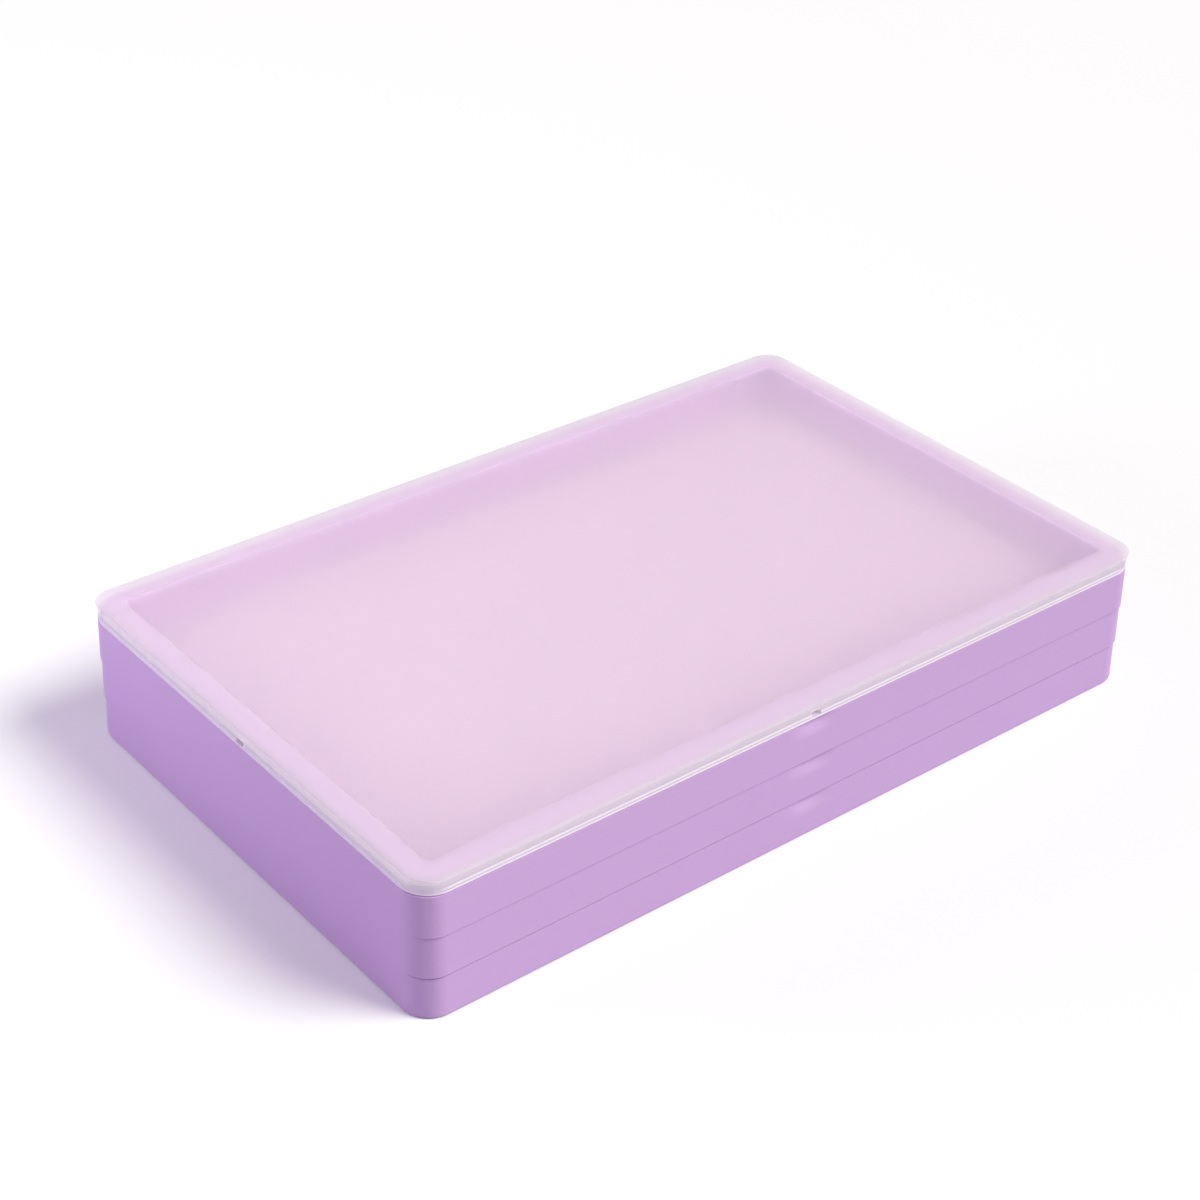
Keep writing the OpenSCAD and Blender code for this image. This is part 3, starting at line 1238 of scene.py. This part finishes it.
@dataclass
class Lid:
    """The frosted lid: a plate with a skirt, a lip round the bottom and a bead round the top.

    Args:
        tray: the tray that it closes, whose neck it takes.
    """

    tray: Tray
    lid_out: float = 10.0 * MM
    rounder: float = 1.2 * MM
    sharper: float = 1.1 * MM
    plate_gap: float = 0.06 * MM
    lip_h: float = 1.7 * MM
    lip_out: float = 0.35 * MM
    groove_z: float = 0.5 * MM
    groove_w: float = 0.5 * MM
    groove_d: float = 0.25 * MM
    bead_h: float = 1.9 * MM
    top_r: float = 0.2 * MM
    slot_w: float = 4.2 * MM
    slot_h: float = 1.3 * MM
    slot_z: float = 1.4 * MM
    slot_fall: float = 1.3 * MM
    slot_clear: float = 1 * MM
    inner_soft: float = 0.3 * MM
    foot_soft: float = 0.25 * MM
    lip_soft: float = 0.15 * MM
    fine_soft: float = 0.08 * MM
    window_edge: float = 0.02 * MM

    def __post_init__(self) -> None:
        """Takes the outline from the tray, and the window's from the tray's mouth."""
        self.plan = self.tray.plan
        self.mouth = self.tray.well_level(self.tray.rim_z)

    def lip(self, out: float, z: float, soft: float = 0.0) -> Level:
        """A level of the lip, whose corners are a little rounder than the trays'."""
        level = self.plan.at(out, z, soft)
        return replace(level, r=level.r + self.rounder)

    def levels(self, z: float, top: float) -> list[Level]:
        """The lid's skin, from under its plate round the outside to its top.

        Args:
            z: the height of its lower edge.
            top: the height of its top.

        Returns:
            The levels in order.
        """
        at, lip, soft, fine = self.plan.at, self.lip, self.lip_soft, self.fine_soft
        skirt, bead = self.lid_out - self.lip_out, self.lid_out - self.lip_out / 3
        groove = self.lid_out - self.groove_d
        low_groove, high_groove = z + self.groove_z, z + self.groove_z + self.groove_w
        plate, socket = z + self.tray.neck_h + self.plate_gap, self.tray.socket_out
        return [
            replace(self.mouth, z=plate),
            at(socket, plate, self.inner_soft),
            at(socket, z, soft),
            lip(self.lid_out, z, self.foot_soft),
            lip(self.lid_out, low_groove, fine),
            lip(groove, low_groove),
            lip(groove, high_groove),
            lip(self.lid_out, high_groove, fine),
            lip(self.lid_out, z + self.lip_h, soft),
            at(skirt, z + self.lip_h + self.lip_out, fine),
            at(skirt, top - self.bead_h - self.lip_out, fine),
            at(bead, top - self.bead_h, soft),
            replace(at(bead, top, self.top_r), r=bead - self.sharper),
            replace(self.mouth, z=top),
        ]

    def slots(self, z: float) -> bmesh.types.BMesh:
        """The cutters of the slots over the catches, whose floors fall inwards.

        Args:
            z: the height of the lid's lower edge.

        Returns:
            The cutters, in one mesh.
        """
        bm = bmesh.new()
        low, high = z + self.slot_z, z + self.slot_z + self.slot_h
        reach = self.tray.socket_out - self.slot_clear, self.lid_out + self.slot_clear
        side_blocks(bm, self.plan, reach, (low, high), self.slot_w)
        for vert in bm.verts:
            out = max(abs(vert.co.x) - self.plan.centre_x, abs(vert.co.y) - self.plan.centre_y)
            if out < self.lid_out and vert.co.z < (low + high) / 2:
                vert.co.z -= self.slot_fall
        return bm

    def build(self) -> bpy.types.Object:
        """Builds the lid.

        Returns:
            The lid, riding on its body.
        """
        low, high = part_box("lid")
        piece = made_object("lid_shell", lofted(self.levels(low.z, high.z)))
        joined(piece, self.slots(low.z), Join.CUT)
        beads = bmesh.new()
        self.tray.skirt_beads(beads, low.z)
        joined(piece, beads, Join.FUSE)
        milky = MilkyPlastic(foot_z=low.z, half_x=self.mouth.x, half_y=self.mouth.y)
        finished(piece, Body.LID, Slot.LID, milky.material(), "lid")
        self.glaze(piece, high.z)
        return piece

    def glaze(self, piece: bpy.types.Object, top: float) -> None:
        """Gives the top of the window its own finish.

        Args:
            piece: the lid.
            top: the height of its top.
        """
        piece.data.materials.append(FrostedWindow().material())
        edge = self.window_edge
        half_x, half_y = self.mouth.x + edge, self.mouth.y + edge
        for face in piece.data.polygons:
            spots = [piece.data.vertices[i].co for i in face.vertices]
            if all(abs(p.x) < half_x and abs(p.y) < half_y and abs(p.z - top) < edge for p in spots):
                face.material_index = 1


# ---------------------------------------------------------------- the studio


@dataclass(frozen=True)
class Lamp:
    """A broad, distant lamp.

    Args:
        name: its name.
        towards: the direction from the palette to the lamp.
        level: how bright it makes a surface that faces it, where 1 shows a colour as it is written.
        spread: its width in the sky, in degrees.
        colour: its colour.
    """

    name: str
    towards: Place
    level: float
    spread: float
    colour: Colour

    def build(self) -> bpy.types.Object:
        """Hangs the lamp.

        Returns:
            The lamp.
        """
        light = bpy.data.lights.new(self.name, "SUN")
        light.energy = self.level * math.pi
        light.angle = math.radians(self.spread)
        light.color = self.colour
        made = bpy.data.objects.new(self.name, light)
        made.rotation_mode = "QUATERNION"
        made.rotation_quaternion = Vector(self.towards).to_track_quat("Z", "Y")
        bpy.context.scene.collection.objects.link(made)
        return made


@dataclass(frozen=True)
class Panel:
    """A square soft panel near the palette, turned to its middle.

    Args:
        name: its name.
        place: where its middle is.
        level: how bright it makes a surface at the palette's middle that faces it.
        width: its width.
        colour: its colour.
    """

    name: str
    place: Place
    level: float
    width: float
    colour: Colour

    def build(self) -> bpy.types.Object:
        """Sets the panel up.

        Returns:
            The panel.
        """
        light = bpy.data.lights.new(self.name, "AREA")
        light.size = self.width
        light.energy = self.level * math.pi ** 2 * Vector(self.place).length_squared
        light.color = self.colour
        made = bpy.data.objects.new(self.name, light)
        made.location = self.place
        made.rotation_mode = "QUATERNION"
        made.rotation_quaternion = Vector(self.place).to_track_quat("Z", "Y")
        bpy.context.scene.collection.objects.link(made)
        return made


@dataclass
class Studio:
    """The camera, the lamps, the surroundings and the table."""

    camera_at: Place = (-0.4848, -0.5712, 0.5193)
    aim_at: Place = (0.0094, 0.0250, 0.0270)
    roll_deg: float = 1.57
    lens_mm: float = 74.17
    sensor_mm: float = 36.0
    far: float = 50.0
    sky: Colour = (0.85, 0.73, 1.0)
    sky_level: float = 0.47
    floor_half: float = 6.0
    lamp: Lamp = Lamp("key_lamp", towards=(0.55, -0.6, 0.8), level=0.88, spread=35.0,
                      colour=(0.99, 1.02, 0.88))
    panel: Panel = Panel("side_panel", place=(-0.62, 0.38, 0.22), level=0.31, width=0.35,
                         colour=(0.94, 0.9, 1.0))

    def camera(self) -> None:
        """Sets up the camera."""
        data = bpy.data.cameras.new("camera")
        data.lens = self.lens_mm
        data.sensor_width = self.sensor_mm
        data.clip_end = self.far
        made = bpy.data.objects.new("camera", data)
        made.location = self.camera_at
        back = Vector(self.camera_at) - Vector(self.aim_at)
        made.rotation_mode = "QUATERNION"
        roll = Quaternion((0, 0, 1), math.radians(self.roll_deg))
        made.rotation_quaternion = (-back).to_track_quat("-Z", "Y") @ roll
        bpy.context.scene.collection.objects.link(made)
        bpy.context.scene.camera = made

    def surroundings(self) -> None:
        """Gives the world an even tinted sky, which looks plain white where it is seen or mirrored."""
        world = bpy.data.worlds.new("studio_sky")
        bpy.context.scene.world = world
        graph = Graph(world)
        straight, mirrored, through = (graph.node("ShaderNodeLightPath", out=f"Is {ray} Ray")
                                       for ray in ("Camera", "Glossy", "Transmission"))
        settings = {"operation": "ADD", "use_clamp": True}
        shown = graph.node("ShaderNodeMath", settings, {0: straight + mirrored, 1: through})
        colour = graph.mixed(shown, self.sky, WHITE)
        strength = shown * (1 - self.sky_level) + self.sky_level
        sky = graph.node("ShaderNodeBackground", None, {"Color": colour, "Strength": strength})
        graph.node("ShaderNodeOutputWorld", None, {"Surface": sky})

    def table(self) -> None:
        """Lays the table that the palette stands on."""
        bm = bmesh.new()
        bmesh.ops.create_grid(bm, x_segments=1, y_segments=1, size=self.floor_half)
        made = made_object("studio_table", bm)
        made.data.materials.append(StudioWhite().material())

    def build(self) -> None:
        """Sets the studio up."""
        self.camera()
        self.surroundings()
        self.table()
        for light in (self.lamp, self.panel):
            light.build()
            log.info("studio: %s", light.name)


def main() -> None:
    """Builds the studio and the palette, from the base up."""
    logging.basicConfig(level=logging.INFO, format="%(name)s: %(message)s")
    bpy.context.scene.view_settings.view_transform = "Standard"
    Studio().build()
    plastic = TrayPlastic().material()
    silicone = SealSilicone().material()
    foam = SpongeFoam().material()
    parchment = PaletteSheet(Tray.rib_pitch).material()
    edges = {Body.BASE: 1.0 * MM, Body.MIDDLE: 0.5 * MM, Body.UPPER: 0.15 * MM}
    for body, edge_r in edges.items():
        tray = Tray(body, plastic, edge_r)
        tray.build()
        Seal(tray, silicone).build()
        bedding = Bedding(tray.rib_pitch, tray.ribs)
        sponge = Sponge(tray, foam, bedding).build()
        Paper(tray, parchment, bedding, sponge).build()
    # The lid closes the upper tray, which is the last one built
    Lid(tray).build()


if __name__ == "__main__":
    main()
